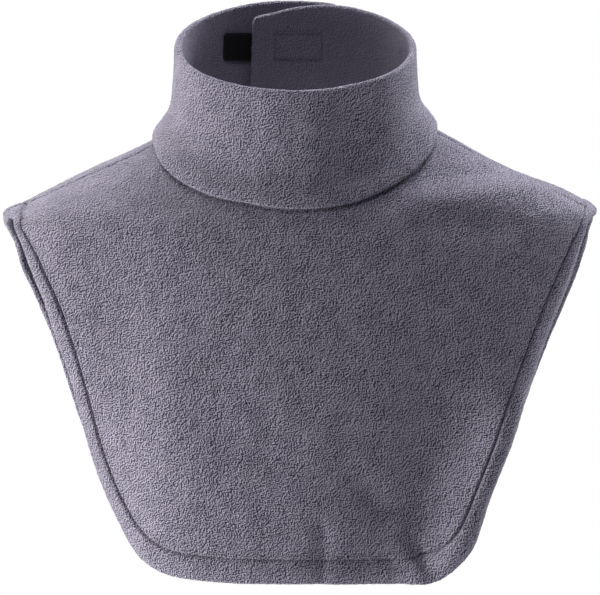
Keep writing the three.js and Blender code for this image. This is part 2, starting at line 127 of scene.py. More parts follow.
frontFlares = [  # the same, but swung straight forward where the bib stands off the chest
    (137, -172, 106, -258, 33, 29),
    (130, -190, 111, -240, 20, 17),
    (168, -96, 154, -130, 32, 5),
    (-150, -118, -139, -150, 30, 12),
    (8, -170, 8, -290, 60, -3),
]
backFolds = [
    (-46, -150, -52, -246, 14, 2.4),
    (2, -170, 0, -246, 14, -2.2),
    (50, -140, 58, -240, 14, 2.4),
    (-60, -30, -120, -70, 12, -1.8),
    (60, -30, 120, -70, 12, -1.8),
]
collarFolds = [  # phi, share of the height, width in degrees, tall as a share, height
    (-52, 0.55, 16, 0.5, 1.4),
    (0, 0.62, 4, 0.3, -0.7),
    (26, 0.55, 10, 0.6, -6.5),
    (50, 0.45, 14, 0.5, 1.2),
    (118, 0.5, 12, 0.4, -1.2),
    (-120, 0.5, 12, 0.4, 1.2),
]
collarLean = [  # share of the height, how far the collar has come in
    (0, 0), (0.06, 0.12), (0.12, 0.31), (0.18, 0.5), (0.25, 0.68),
    (0.36, 0.82), (0.55, 0.9), (0.75, 0.96), (1, 1),
]
rimDrop = [  # phi, how much lower the rim runs towards the collar's two ends
    (-201.5, 6), (-200.3, 2.6), (-198, 1), (-190, 0.3), (-175, 0), (150, 1), (165, 2),
    (180, 4.6), (192, 7.4), (200, 8.4), (203, 9), (204.5, 12),
]


def lerp(a, b, t):
    return a + (b - a) * t


def smoothstep(x, low, high):
    t = np.clip((np.asarray(x, float) - low) / (high - low), 0, 1)
    return t * t * (3 - 2 * t)


def bell(distance, width):
    return np.exp(-((distance / width) ** 2))


def unit(v):
    return v / np.linalg.norm(v, axis=-1, keepdims=True)


trackSteps = 9000


def smoothTrack(rows, column):
    # a smooth curve through a table's rows that never overshoots them
    at = np.array([row[0] for row in rows], float)
    to = np.array([row[column] for row in rows], float)
    steps = np.diff(at)
    slopes = np.diff(to) / steps
    lean = np.zeros(len(at))
    lean[0], lean[-1] = slopes[0], slopes[-1]
    for i in range(1, len(at) - 1):
        if slopes[i - 1] * slopes[i] > 0:
            before = 2 * steps[i] + steps[i - 1]
            after = steps[i] + 2 * steps[i - 1]
            lean[i] = (before + after) / (before / slopes[i - 1] + after / slopes[i])

    # read at close steps once, and looked up after that
    x = np.linspace(at[0], at[-1], trackSteps)
    i = np.clip(np.searchsorted(at, x, side="right") - 1, 0, len(at) - 2)
    t = (x - at[i]) / steps[i]
    s = 1 - t
    y = (
        to[i] * (1 + 2 * t) * s * s
        + lean[i] * steps[i] * t * s * s
        + to[i + 1] * t * t * (3 - 2 * t)
        - lean[i + 1] * steps[i] * t * t * s
    )
    return lambda p: np.interp(p, x, y)


widthLeft = smoothTrack(torsoForm, 1)
widthRight = smoothTrack(torsoForm, 2)
depthFront = smoothTrack(torsoForm, 3)
depthBack = smoothTrack(torsoForm, 4)
reachAt = smoothTrack(neckReach, 1)
leanAt = smoothTrack(collarLean, 1)
dropAt = smoothTrack(rimDrop, 1)


def halfWidth(x, z):
    return np.where(np.asarray(x) < 0, widthLeft(z), widthRight(z))


def halfDepth(y, z):
    return np.where(np.asarray(y) < 0, depthFront(z), depthBack(z))


def foldHeight(folds, x, z):
    # the cloth's rise over all the folds, each with a round section and soft ends
    height = np.zeros(np.shape(x))
    for x0, z0, x1, z1, wide, out in folds:
        length = math.hypot(x1 - x0, z1 - z0)
        alongX, alongZ = (x1 - x0) / length, (z1 - z0) / length
        along = (x - x0) * alongX + (z - z0) * alongZ
        across = (z - z0) * alongX - (x - x0) * alongZ
        past = np.maximum(0, np.maximum(-along, along - length))
        height += out * bell(across, wide) * bell(past, 1.6 * wide)
    return height


def torsoPoint(psi, z):
    psi, z = np.broadcast_arrays(np.asarray(psi, float), np.asarray(z, float))
    side, ahead = np.sin(np.radians(psi)), np.cos(np.radians(psi))
    return np.stack([halfWidth(side, z) * side, -halfDepth(-ahead, z) * ahead, z], axis=-1)


def normalOf(pointAt, a, b, stepA=0.2, stepB=0.2):
    overA = pointAt(a + stepA, b) - pointAt(a - stepA, b)
    overB = pointAt(a, b + stepB) - pointAt(a, b - stepB)
    return unit(np.cross(overA, overB))


def panelPoint(psi, z):
    # the middle of a panel's cloth, with its folds
    plain = torsoPoint(psi, z)
    out = normalOf(torsoPoint, psi, z)
    facing = smoothstep(np.abs(np.cos(np.radians(psi))), 0.05, 0.4)
    inFront = foldHeight(frontFolds, plain[..., 0], plain[..., 2])
    behind = foldHeight(backFolds, plain[..., 0], plain[..., 2])
    height = facing * np.where(plain[..., 1] < 0, inFront, behind)
    flare = facing * foldHeight(frontFlares, plain[..., 0], plain[..., 2]) * (plain[..., 1] < 0)
    return plain + out * height[..., None] - np.array([0, 1, 0]) * flare[..., None]


def panelNormal(psi, z):
    return normalOf(panelPoint, psi, z)


def neckline(phi):
    # where the neckline lies on the panels, as a psi and a height
    phi = np.asarray(phi, float)
    turn = phi - 360 * np.round(phi / 360)
    reach = reachAt(turn)
    x = neck["half"] * reach * np.sin(np.radians(turn))
    ahead = np.cos(np.radians(turn))
    y = -np.where(ahead > 0, neck["front"], neck["back"]) * reach * ahead
    low, high = np.full(phi.shape, neckSearch["low"]), np.full(phi.shape, neckSearch["high"])
    for _ in range(neckSearch["halvings"]):
        z = (low + high) / 2
        inside = (x / halfWidth(x, z)) ** 2 + (y / halfDepth(y, z)) ** 2 < 1
        low, high = np.where(inside, z, low), np.where(inside, high, z)
    psi = np.degrees(np.arctan2(x / halfWidth(x, low), -y / halfDepth(y, low)))
    return np.stack([psi + 360 * np.round((phi - psi) / 360), low], axis=-1)


def splineThrough(rows):
    # a curve through all the rows of an edge, read from 0 to 1
    spots = np.array(rows, float)
    last = len(spots) - 1

    def read(t):
        p = np.clip(t, 0, 1) * last
        i = np.minimum(np.floor(p).astype(int), last - 1)
        w = (p - i)[..., None]
        a, b = spots[np.maximum(i - 1, 0)], spots[i]
        c, d = spots[i + 1], spots[np.minimum(i + 2, last)]
        v0, v1 = (c - a) / 2, (d - b) / 2
        return (2 * b - 2 * c + v0 + v1) * w**3 + (3 * c - 3 * b - 2 * v0 - v1) * w**2 + v0 * w + b

    return read


def distances(line):
    # how far along a line each of its points lies
    return np.concatenate([[0], np.cumsum(np.linalg.norm(np.diff(line, axis=0), axis=1))])


def readAt(x, marks, values):
    # np.interp for values of two or three columns
    return np.stack([np.interp(x, marks, column) for column in values.T], axis=-1)


def measured(curve, steps):
    # a line on a panel, read by its distance along the cloth
    spots = curve(np.linspace(0, 1, steps + 1))
    marks = distances(torsoPoint(spots[:, 0], spots[:, 1]))
    return lambda distance: readAt(distance, marks, spots), marks[-1]


def tracedTo(spot, heading, distance, steps):
    # the spot that lies a distance away over the cloth, as straight as the cloth allows
    way, here = heading.copy(), spot.copy()
    for _ in range(steps):
        psi, z = here[..., 0], here[..., 1]
        out = normalOf(torsoPoint, psi, z)
        way = unit(way - out * np.sum(way * out, axis=-1, keepdims=True))
        overPsi = torsoPoint(psi + 0.5, z) - torsoPoint(psi - 0.5, z)
        overZ = torsoPoint(psi, z + 0.5) - torsoPoint(psi, z - 0.5)
        move = way * distance / steps
        pp, zz = np.sum(overPsi**2, axis=-1), np.sum(overZ**2, axis=-1)
        pz = np.sum(overPsi * overZ, axis=-1)
        p, q = np.sum(overPsi * move, axis=-1), np.sum(overZ * move, axis=-1)
        scale = 1 / (pp * zz - pz * pz)
        here = here + np.stack([(p * zz - q * pz) * scale, (q * pp - p * pz) * scale], axis=-1)
    return here


def smoothThrough(marks, values, x):
    # a smooth line through values that stand at uneven marks
    slopes = np.diff(values, axis=0) / np.diff(marks)[:, None]
    before, after = np.diff(marks)[:-1, None], np.diff(marks)[1:, None]
    middle = (slopes[:-1] * after + slopes[1:] * before) / (before + after)
    lean = np.concatenate([slopes[:1], middle, slopes[-1:]])
    i = np.clip(np.searchsorted(marks, x, side="right") - 1, 0, len(marks) - 2)
    step = (marks[i + 1] - marks[i])[:, None]
    t = (x - marks[i])[:, None] / step
    s = 1 - t
    return (
        values[i] * (1 + 2 * t) * s * s
        + lean[i] * step * t * s * s
        + values[i + 1] * t * t * (3 - 2 * t)
        - lean[i + 1] * step * t * t * s
    )


print("surface functions ready")


# Materials

def socketIn(tree, name, kind, value):
    tree.interface.new_socket(name, in_out="INPUT", socket_type=kind).default_value = value


napGrain = {
    "detail": 1,
    "roughness": 0.4,
    "fuller": 1.35,              # over 1, more of the surface takes the painted highlight than the painted shade
    # the painted light's range, from full painted shade to full painted highlight
    "allPaintedShade": 0.08,
    "allPaintedHighlight": 0.26,
    "mottleScale": 95,
    "mottleDetail": 2,
    "mottleFrom": 0.3,
    "mottleTo": 0.7,
    "mottle": 0.13,
}


def fleeceNapGroup():
    # The pile of a fleece, with painted light in its colour: each tuft is painted pale on its slope one way
    # round the body and up, as the lamps would light it, and painted dark on the far slope and in the gaps,
    # with a slow mottle. Its height gives the tufts' real relief.
    tree = bpy.data.node_groups.new("fleeceNap", "ShaderNodeTree")
    socketIn(tree, "Tuft Scale", "NodeSocketFloat", 1180)
    socketIn(tree, "Painted Light Round", "NodeSocketFloat", 0.0006)
    socketIn(tree, "Painted Light Up", "NodeSocketFloat", 0.0005)
    socketIn(tree, "Painted Shade Tone", "NodeSocketColor", (0.01, 0.01, 0.03, 1))
    socketIn(tree, "Cloth Tone", "NodeSocketColor", (0.12, 0.11, 0.16, 1))
    socketIn(tree, "Painted Highlight Tone", "NodeSocketColor", (0.28, 0.25, 0.31, 1))
    for name, kind in (("Color", "NodeSocketColor"), ("Height", "NodeSocketFloat")):
        tree.interface.new_socket(name, in_out="OUTPUT", socket_type=kind)
    nodes, links = tree.nodes, tree.links
    given, out = nodes.new("NodeGroupInput"), nodes.new("NodeGroupOutput")
    place = nodes.new("ShaderNodeTexCoord")

    def vectorStep(operation, first, second=None, scale=None):
        step = nodes.new("ShaderNodeVectorMath")
        step.operation = operation
        links.new(first, step.inputs[0])
        if second is not None:
            links.new(second, step.inputs[1])
        if scale is not None:
            links.new(scale, step.inputs["Scale"])
        return step

    # painted light: the tufts' noise, read a little way round the body and up, is taken from their own, so
    # slopes facing that way come out pale
    level = vectorStep("CROSS_PRODUCT", place.outputs["Normal"])
    level.inputs[1].default_value = (0, 0, 1)
    around = vectorStep("NORMALIZE", level.outputs["Vector"]).outputs["Vector"]
    upward = vectorStep("CROSS_PRODUCT", around, place.outputs["Normal"]).outputs["Vector"]
    aside = vectorStep("SCALE", around, scale=given.outputs["Painted Light Round"]).outputs["Vector"]
    raised = vectorStep("SCALE", upward, scale=given.outputs["Painted Light Up"]).outputs["Vector"]
    turned = vectorStep("ADD", aside, raised).outputs["Vector"]
    shift = vectorStep("ADD", place.outputs["Object"], turned)
    tuft, behind = nodes.new("ShaderNodeTexNoise"), nodes.new("ShaderNodeTexNoise")
    for grain, spot in ((tuft, place.outputs["Object"]), (behind, shift.outputs["Vector"])):
        grain.inputs["Detail"].default_value = napGrain["detail"]
        grain.inputs["Roughness"].default_value = napGrain["roughness"]
        links.new(spot, grain.inputs["Vector"])
        links.new(given.outputs["Tuft Scale"], grain.inputs["Scale"])
    fuller = nodes.new("ShaderNodeMath")
    fuller.operation = "MULTIPLY"
    fuller.inputs[1].default_value = napGrain["fuller"]
    links.new(tuft.outputs["Fac"], fuller.inputs[0])
    slope = nodes.new("ShaderNodeMath")
    slope.operation = "SUBTRACT"
    links.new(fuller.outputs["Value"], slope.inputs[0])
    links.new(behind.outputs["Fac"], slope.inputs[1])
    crisp = nodes.new("ShaderNodeMapRange")
    crisp.interpolation_type = "SMOOTHSTEP"
    crisp.inputs["From Min"].default_value = napGrain["allPaintedShade"]
    crisp.inputs["From Max"].default_value = napGrain["allPaintedHighlight"]
    links.new(slope.outputs["Value"], crisp.inputs["Value"])

    mottle = nodes.new("ShaderNodeTexNoise")
    mottle.inputs["Scale"].default_value = napGrain["mottleScale"]
    mottle.inputs["Detail"].default_value = napGrain["mottleDetail"]
    links.new(place.outputs["Object"], mottle.inputs["Vector"])
    slow = nodes.new("ShaderNodeMapRange")
    slow.inputs["From Min"].default_value = napGrain["mottleFrom"]
    slow.inputs["From Max"].default_value = napGrain["mottleTo"]
    slow.inputs["To Min"].default_value = -napGrain["mottle"]
    slow.inputs["To Max"].default_value = napGrain["mottle"]
    links.new(mottle.outputs["Fac"], slow.inputs["Value"])
    pile = nodes.new("ShaderNodeMath")
    pile.operation = "ADD"
    pile.use_clamp = True
    links.new(crisp.outputs["Result"], pile.inputs[0])
    links.new(slow.outputs["Result"], pile.inputs[1])

    # the painted shade tone, the cloth tone and the painted highlight tone, mixed by that painted light
    lower = nodes.new("ShaderNodeMapRange")
    lower.inputs["From Max"].default_value = 0.5
    links.new(pile.outputs["Value"], lower.inputs["Value"])
    upper = nodes.new("ShaderNodeMapRange")
    upper.inputs["From Min"].default_value = 0.5
    links.new(pile.outputs["Value"], upper.inputs["Value"])
    deep = nodes.new("ShaderNodeMix")
    deep.data_type = "RGBA"
    links.new(lower.outputs["Result"], deep.inputs["Factor"])
    links.new(given.outputs["Painted Shade Tone"], deep.inputs["A"])
    links.new(given.outputs["Cloth Tone"], deep.inputs["B"])
    bright = nodes.new("ShaderNodeMix")
    bright.data_type = "RGBA"
    links.new(upper.outputs["Result"], bright.inputs["Factor"])
    links.new(deep.outputs["Result"], bright.inputs["A"])
    links.new(given.outputs["Painted Highlight Tone"], bright.inputs["B"])
    links.new(bright.outputs["Result"], out.inputs["Color"])
    links.new(tuft.outputs["Fac"], out.inputs["Height"])
    return tree


napGroup = fleeceNapGroup()


def newMaterial(name):
    material = bpy.data.materials.new(name)
    material.use_nodes = True
    nodes, links = material.node_tree.nodes, material.node_tree.links
    return material, nodes, links, nodes["Principled BSDF"]


fleeceLook = {
    # gap is painted shade on each tuft's far slope and in the gaps, tip a painted highlight on its near slope
    "gap": (0.010, 0.011, 0.028, 1),
    "cloth": (0.120, 0.112, 0.157, 1),
    "tip": (0.276, 0.251, 0.309, 1),
    "tuftScale": 1180,
    "paintedLightRound": 0.0006,
    "paintedLightUp": 0.0005,
    "bump": 0.27,
    "bumpDepth": 0.0038,
    "sheen": 0.25,
    "sheenRoughness": 0.6,
    "sheenTint": (0.80, 0.78, 0.88, 1),
    "roughness": 0.95,
    "specular": 0.15,
}


def fleeceMaterial(name, look):
    material, nodes, links, shader = newMaterial(name)
    nap = nodes.new("ShaderNodeGroup")
    nap.node_tree = napGroup
    nap.inputs["Tuft Scale"].default_value = look["tuftScale"]
    nap.inputs["Painted Light Round"].default_value = look["paintedLightRound"]
    nap.inputs["Painted Light Up"].default_value = look["paintedLightUp"]
    nap.inputs["Painted Shade Tone"].default_value = look["gap"]
    nap.inputs["Cloth Tone"].default_value = look["cloth"]
    nap.inputs["Painted Highlight Tone"].default_value = look["tip"]
    relief = nodes.new("ShaderNodeBump")
    relief.inputs["Strength"].default_value = look["bump"]
    relief.inputs["Distance"].default_value = look["bumpDepth"]
    links.new(nap.outputs["Color"], shader.inputs["Base Color"])
    links.new(nap.outputs["Height"], relief.inputs["Height"])
    links.new(relief.outputs["Normal"], shader.inputs["Normal"])
    shader.inputs["Roughness"].default_value = look["roughness"]
    shader.inputs["Specular IOR Level"].default_value = look["specular"]
    shader.inputs["Sheen Weight"].default_value = look["sheen"]
    shader.inputs["Sheen Roughness"].default_value = look["sheenRoughness"]
    shader.inputs["Sheen Tint"].default_value = look["sheenTint"]
    return material


tapeLook = {
    "weaveScale": 1400,
    "weaveDetail": 2,
    "allLow": 0.35,
    "allHigh": 0.7,
    "low": (0.0015, 0.0015, 0.002, 1),
    "high": (0.008, 0.008, 0.010, 1),
    "bump": 0.5,
    "bumpDepth": 0.0004,
    "roughness": 0.85,
    "specular": 0.2,
}


def tapeMaterial(look):
    material, nodes, links, shader = newMaterial("closing_tape")
    place = nodes.new("ShaderNodeTexCoord")
    weave = nodes.new("ShaderNodeTexNoise")
    weave.inputs["Scale"].default_value = look["weaveScale"]
    weave.inputs["Detail"].default_value = look["weaveDetail"]
    links.new(place.outputs["Object"], weave.inputs["Vector"])
    tone = nodes.new("ShaderNodeValToRGB")
    tone.color_ramp.elements[0].position = look["allLow"]
    tone.color_ramp.elements[0].color = look["low"]
    tone.color_ramp.elements[1].position = look["allHigh"]
    tone.color_ramp.elements[1].color = look["high"]
    links.new(weave.outputs["Fac"], tone.inputs["Fac"])
    links.new(tone.outputs["Color"], shader.inputs["Base Color"])
    relief = nodes.new("ShaderNodeBump")
    relief.inputs["Strength"].default_value = look["bump"]
    relief.inputs["Distance"].default_value = look["bumpDepth"]
    links.new(weave.outputs["Fac"], relief.inputs["Height"])
    links.new(relief.outputs["Normal"], shader.inputs["Normal"])
    shader.inputs["Roughness"].default_value = look["roughness"]
    shader.inputs["Specular IOR Level"].default_value = look["specular"]
    return material


threadLook = {"twist": 3000, "roughness": 0.6}


def threadMaterial(name, dark, light):
    material, nodes, links, shader = newMaterial(name)
    place = nodes.new("ShaderNodeTexCoord")
    ply = nodes.new("ShaderNodeTexNoise")
    ply.inputs["Scale"].default_value = threadLook["twist"]
    links.new(place.outputs["Object"], ply.inputs["Vector"])
    tone = nodes.new("ShaderNodeValToRGB")
    tone.color_ramp.elements[0].color = dark
    tone.color_ramp.elements[1].color = light
    links.new(ply.outputs["Fac"], tone.inputs["Fac"])
    links.new(tone.outputs["Color"], shader.inputs["Base Color"])
    shader.inputs["Roughness"].default_value = threadLook["roughness"]
    return material


shadedInsideLook = dict(  # the inner face of the collar: the same fleece with a finer pile, painted darker and with less contrast as painted shade
    fleeceLook,
    gap=(0.070, 0.060, 0.090, 1),
    cloth=(0.104, 0.092, 0.132, 1),
    tip=(0.142, 0.127, 0.176, 1),
    tuftScale=1300,
    bump=0.2,
)
fleece = fleeceMaterial("fleece", fleeceLook)
paintedShadeInside = fleeceMaterial("fleece_inside_painted_shade", shadedInsideLook)
tapeFinish = tapeMaterial(tapeLook)
threadFinish = threadMaterial("sewing_thread", (0.020, 0.018, 0.028, 1), (0.055, 0.051, 0.070, 1))
tapeThread = threadMaterial("tape_thread", (0.0015, 0.0015, 0.002, 1), (0.007, 0.007, 0.009, 1))
fibreFinish = threadMaterial("fleece_fibre", (0.11, 0.101, 0.140, 1), (0.24, 0.222, 0.285, 1))
print("materials ready")


# Mesh helpers

def newPiece(name, points, faces, material):
    mesh = bpy.data.meshes.new(name)
    mesh.from_pydata([tuple(p) for p in np.asarray(points, float) * 0.001], [], faces)
    mesh.shade_smooth()
    mesh.materials.append(material)
    piece = bpy.data.objects.new(name, mesh)
    bpy.context.scene.collection.objects.link(piece)
    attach(piece, "root")
    return piece


def napUp(piece, amounts, seed):
    # the pile's own unevenness, raised along the normals
    mesh = piece.data
    count = len(mesh.vertices)
    places, normals = np.empty(count * 3), np.empty(count * 3)
    mesh.vertices.foreach_get("co", places)
    mesh.vertex_normals.foreach_get("vector", normals)
    places, normals = places.reshape(-1, 3), normals.reshape(-1, 3)
    height = np.zeros(count)
    for turn, (length, tall) in enumerate(amounts):
        shift = Vector((seed * 7.3 + turn * 31.7, seed * 3.1, turn * 17.9))
        scale = 1000 / length
        height += tall * np.array([noise.noise(Vector(p) * scale + shift) for p in places])
    mesh.vertices.foreach_set("co", (places + normals * (height * 0.001)[:, None]).ravel())
    mesh.update()


def strips(rings, size):
    # quads between neighbouring rings, each a closed loop of size points
    faces = []
    for i in range(rings - 1):
        a, b = i * size, (i + 1) * size
        for k in range(size):
            n = (k + 1) % size
            faces.append((a + k, a + n, b + n, b + k))
    return faces


# The two panels

hemOuter = cloth["layer"] / 2 + hem["rise"]
hemInner = 1.5 * cloth["layer"]
foldRadius = (hemOuter + hemInner) / 2

panelGrid = {
    "edgeSteps": 1200,           # points that measure the free edge, and the neckline
    "neckSteps": 600,
    "cornerHalf": 22,            # the hem's corners are rounded over twice this
    "traceSteps": 8,
    "easings": 8,
    "rowPower": 1.1,             # over 1, rows are closer at the neckline than at the hem
}
# columns close to a shoulder seam, for the traced hem and for the mesh
coarseNear = [0, seam["roll"], seam["allowance"], seam["allowance"] + 1.5]
closeNear = [0, 0.3, 0.7, 1.2, 2, 3, 4.2, 5.6, 7, 8, 9.5]
# rows of the hem by their distance from its edge: outside, closest at the stitches, and inside
hemMarks = [18.4, 17.8, 17.2, 16.7, 16.2, 15.8, 15.4, 15, 14.6, 14.2, 13.7, 13.1, 12.4, 11.2, 9.2, 7, 4.6]
hemUnder = [5, 9, 13, 17.2]
foldTurns = [90, 68, 46, 22, 0, -22, -46, -68, -90]


def fanned(t, fan):
    # shares that stand closer in the middle where fan is under 1
    t = 2 * np.asarray(t, float)
    return np.where(t < 1, np.abs(t) ** fan / 2, 1 - np.abs(2 - t) ** fan / 2)


def columnMarks(total, between, fan, near):
    # where the columns stand along an edge, with close ones at both shoulder seams
    edge = near[-1]
    middle = lerp(edge, total - edge, fanned(np.arange(1, between) / between, fan))
    return np.concatenate([near, middle, [total - d for d in reversed(near)]])


def hemEnds(cut, free, freeTotal, top, topTotal):
    # where the hem ends on the panel: traced at wide steps and eased round the corners
    marks = columnMarks(freeTotal, cut["tracedColumns"], 1, coarseNear)
    topMarks = columnMarks(topTotal, cut["tracedColumns"], cut["fan"], coarseNear)
    ends, starts = free(marks), top(topMarks)
    fromEnds = np.minimum(marks, freeTotal - marks)
    before, after = free(marks - panelGrid["cornerHalf"]), free(marks + panelGrid["cornerHalf"])
    run = unit(torsoPoint(after[:, 0], after[:, 1]) - torsoPoint(before[:, 0], before[:, 1]))
    out = normalOf(torsoPoint, ends[:, 0], ends[:, 1])
    inward = unit(np.cross(out, run))
    toward = lerp(ends, starts, 0.1)
    towardNeck = unit(torsoPoint(toward[:, 0], toward[:, 1]) - torsoPoint(ends[:, 0], ends[:, 1]))
    blend = (1 - smoothstep(fromEnds, 0, hem["cornerReach"]))[:, None]
    inward = unit(lerp(inward, towardNeck, blend))
    inners = tracedTo(ends, inward, hem["clear"], panelGrid["traceSteps"])
    for _ in range(panelGrid["easings"]):
        inners[1:-1] = (inners[:-2] + inners[2:]) * 0.25 + inners[1:-1] * 0.5
    return marks, inners


def panelRings(cut):
    # a ring of points for each column of the panel: down its outside, round the hem and up inside
    def neckEdge(t):
        return neckline(lerp(cut["neckFrom"], cut["neckTo"], t))

    free, freeTotal = measured(splineThrough(cut["edge"]), panelGrid["edgeSteps"])
    top, topTotal = measured(neckEdge, panelGrid["neckSteps"])
    marks = columnMarks(freeTotal, cut["columns"], 1, closeNear)
    topMarks = columnMarks(topTotal, cut["columns"], cut["fan"], closeNear)
    inners = smoothThrough(*hemEnds(cut, free, freeTotal, top, topTotal), marks)
    ends, starts = free(marks), top(topMarks)
    fromEnds = np.minimum(marks, freeTotal - marks)
    bow = np.where(marks < freeTotal / 2, cut["bowFrom"], cut["bowTo"]) * np.exp(-fromEnds / seam["bowReach"])

    def bodySpot(t):
        spot = lerp(starts, inners, t)
        spot[:, 0] += bow * 4 * t * (1 - t)
        return spot

    def hemSpot(distance):
        return lerp(ends, inners, distance / hem["clear"])

    seamDistance = np.minimum(fromEnds, np.minimum(topMarks, topTotal - topMarks))
    atSeam = seamDistance < seam["allowance"] + 0.5
    rolled = seam["rollDeep"] * np.clip(1 - seamDistance / seam["roll"], 0, 1) ** 2
    shift = np.where(marks < freeTotal / 2, seam["gap"], -seam["gap"]) * (seamDistance < seam["lip"])

    def lift(spots, offsets):
        # spots as rows by columns by (psi, height), offsets as rows by columns
        spots = np.asarray(spots)
        offsets = np.stack([np.broadcast_to(offset, fromEnds.shape) for offset in offsets])
        psi, z = spots[..., 0], spots[..., 1]
        sideways = unit(panelPoint(psi + 0.5, z) - panelPoint(psi - 0.5, z))
        return panelPoint(psi, z) + sideways * shift[:, None] + panelNormal(psi, z) * offsets[..., None]

    plainOut = cloth["layer"] / 2 - rolled
    plainIn = -np.where(atSeam, hemInner, cloth["layer"] / 2)
    hemOut = hemOuter - rolled

    # how deep the stitching draws the hem in, place by place along the edge
    groove = np.interp(marks / freeTotal, *zip(*cut["groove"]))

    def hemHeight(d):
        up = smoothstep(hem["clear"] - d, 0, hem["stepWide"]) * (hemOut - plainOut)
        puff = hem["puff"] * math.sin(math.pi * min(d / hem["stitchLine"], 1)) ** hem["puffRound"]
        return plainOut + up + puff - groove * bell(d - hem["stitchLine"], hem["grooveHalf"])

    bodyLength = np.linalg.norm(
        torsoPoint(inners[:, 0], inners[:, 1]) - torsoPoint(starts[:, 0], starts[:, 1]), axis=1
    )
    ledge = starts + (inners - starts) * (-seam["ledge"] / bodyLength)[:, None]
    lip = starts + (inners - starts) * (-(seam["ledge"] + seam["lip"]) / bodyLength)[:, None]
    outerRows, innerRows = cut["outerRows"], cut["outerRows"] // 2
    power = panelGrid["rowPower"]
    outer = [(ledge, plainOut)]
    outer += [(bodySpot((k / outerRows) ** power), plainOut) for k in range(outerRows + 1)]
    outer += [(hemSpot(d), hemHeight(d)) for d in hemMarks]
    stitchRow = len(outer) - len(hemMarks) + hemMarks.index(hem["stitchLine"])

    foldSpot = hemSpot(foldRadius)
    foldMiddle, edgeOn, edgeIn = lift(
        [foldSpot, hemSpot(0), hemSpot(hem["fold"] / 3)], [(hemOut - hemInner) / 2, 0, 0]
    )
    foldOut = panelNormal(foldSpot[:, 0], foldSpot[:, 1])
    outward = edgeOn - edgeIn
    outward = unit(outward - foldOut * np.sum(outward * foldOut, axis=1, keepdims=True))
    radius = ((hemOut + hemInner) / 2)[:, None]
    turned = [
        foldMiddle + outward * foldRadius * math.cos(a) + foldOut * radius * math.sin(a)
        for a in np.radians(foldTurns)
    ]

    inner = [(hemSpot(d), -hemInner) for d in hemUnder]
    inner += [(hemSpot(hem["fold"] + hem["foldEnd"]), (plainIn - hemInner) / 2)]
    inner += [(bodySpot((k / innerRows) ** power), plainIn) for k in range(innerRows, -1, -1)]
    inner += [(ledge, plainIn), (lip, (plainOut + plainIn) / 2)]
    rows = np.concatenate([lift(*zip(*outer)), np.stack(turned), lift(*zip(*inner))])
    return np.swapaxes(rows, 0, 1), stitchRow


def capEnd(ring, first):
    # closes a ring's end with a strip between its two sides
    faces, a, b = [], 0, len(ring) - 1
    while b - a > 1:
        if np.linalg.norm(ring[a + 1] - ring[b]) < np.linalg.norm(ring[a] - ring[b - 1]):
            faces.append((first + a, first + a + 1, first + b))
            a += 1
        else:
            faces.append((first + a, first + b - 1, first + b))
            b -= 1
    return faces


def ringPiece(name, rings, material):
    # one closed skin over neighbouring rings and across the first and the last
    count, size = rings.shape[:2]
    faces = strips(count, size)
    faces += [face[::-1] for face in capEnd(rings[0], 0)]
    faces += capEnd(rings[-1], (count - 1) * size)
    return newPiece(name, rings.reshape(-1, 3), faces, material)


def evenly(line, pitch):
    # points at an even pitch along a line, with its direction at each and its share of the length
    marks, reach = distances(line), 0.4
    at = np.arange(pitch / 2, marks[-1] - pitch / 2, pitch)
    way = readAt(at + reach, marks, line) - readAt(at - reach, marks, line)
    return readAt(at, marks, line), unit(way), at / marks[-1]


stitchShape = [  # place along a stitch as a share of its length, height by its dip, thickness
    (-0.5, -1, 0.35), (-0.42, -0.35, 0.85), (-0.22, 0.1, 1),
    (0.22, 0.1, 1), (0.42, -0.35, 0.85), (0.5, -1, 0.35),
]


def threadPiece(name, centres, along, up, settings, finish):
    # one short rounded stitch for each centre, its ends going down into the cloth
    length, thick, dip = settings["length"], settings["thick"], settings["dip"]
    sides = 6
    across = unit(np.cross(along, up))
    points, faces = [], []
    for n in range(len(centres)):
        base = len(points)
        for t, high, fat in stitchShape:
            middle = centres[n] + along[n] * length * t + up[n] * dip * high
            for k in range(sides):
                a = 2 * math.pi * k / sides
                points.append(middle + (across[n] * math.cos(a) + up[n] * math.sin(a)) * thick * fat)
        for i in range(len(stitchShape) - 1):
            for k in range(sides):
                a, b = base + i * sides, base + (i + 1) * sides
                m = (k + 1) % sides
                faces.append((a + k, b + k, b + m, a + m))
        faces.append(tuple(base + k for k in range(sides)))
        last = base + (len(stitchShape) - 1) * sides
        faces.append(tuple(last + sides - 1 - k for k in range(sides)))
    return newPiece(name, points, faces, finish)


def hemStitches(name, rings, row, settings):
    # stitches that lie end to end along one row of a panel
    line = rings[:, row]
    beside = rings[:, row + settings["beside"]] - rings[:, row - settings["beside"]]
    centres, along, share = evenly(line, settings["pitch"])
    marks = distances(line)
    across = readAt(share, marks / marks[-1], beside)
    up = unit(np.cross(across, along))
    lifted = centres + up * settings["lift"]
    return threadPiece(name, lifted, along, up, settings, threadFinish)


def seamStitches(name, rings, settings):
    # slanting stitches across both shoulder seams, from the collar out to the tips
    centres, along, up = [], [], []
    last = frontCut["outerRows"] + len(hemMarks)
    for side, column in ((1, 0), (-1, -1)):
        line = rings[column, settings["skip"]:last]
        beside = rings[column + side * settings["beside"], settings["skip"]:last]
        spots, run, share = evenly(line, settings["pitch"])
        across = unit(readAt(share, np.linspace(0, 1, len(line)), beside - line))
        lifted = unit(np.cross(across, run)) * side
        lifted *= np.sign(lifted[:, 2:3])
        centres.append(spots + lifted * settings["lift"])
        along.append(unit(run + across * settings["slant"]))
        up.append(lifted)
    centres, along, up = (np.concatenate(both) for both in (centres, along, up))
    return threadPiece(name, centres, along, up, settings, threadFinish)


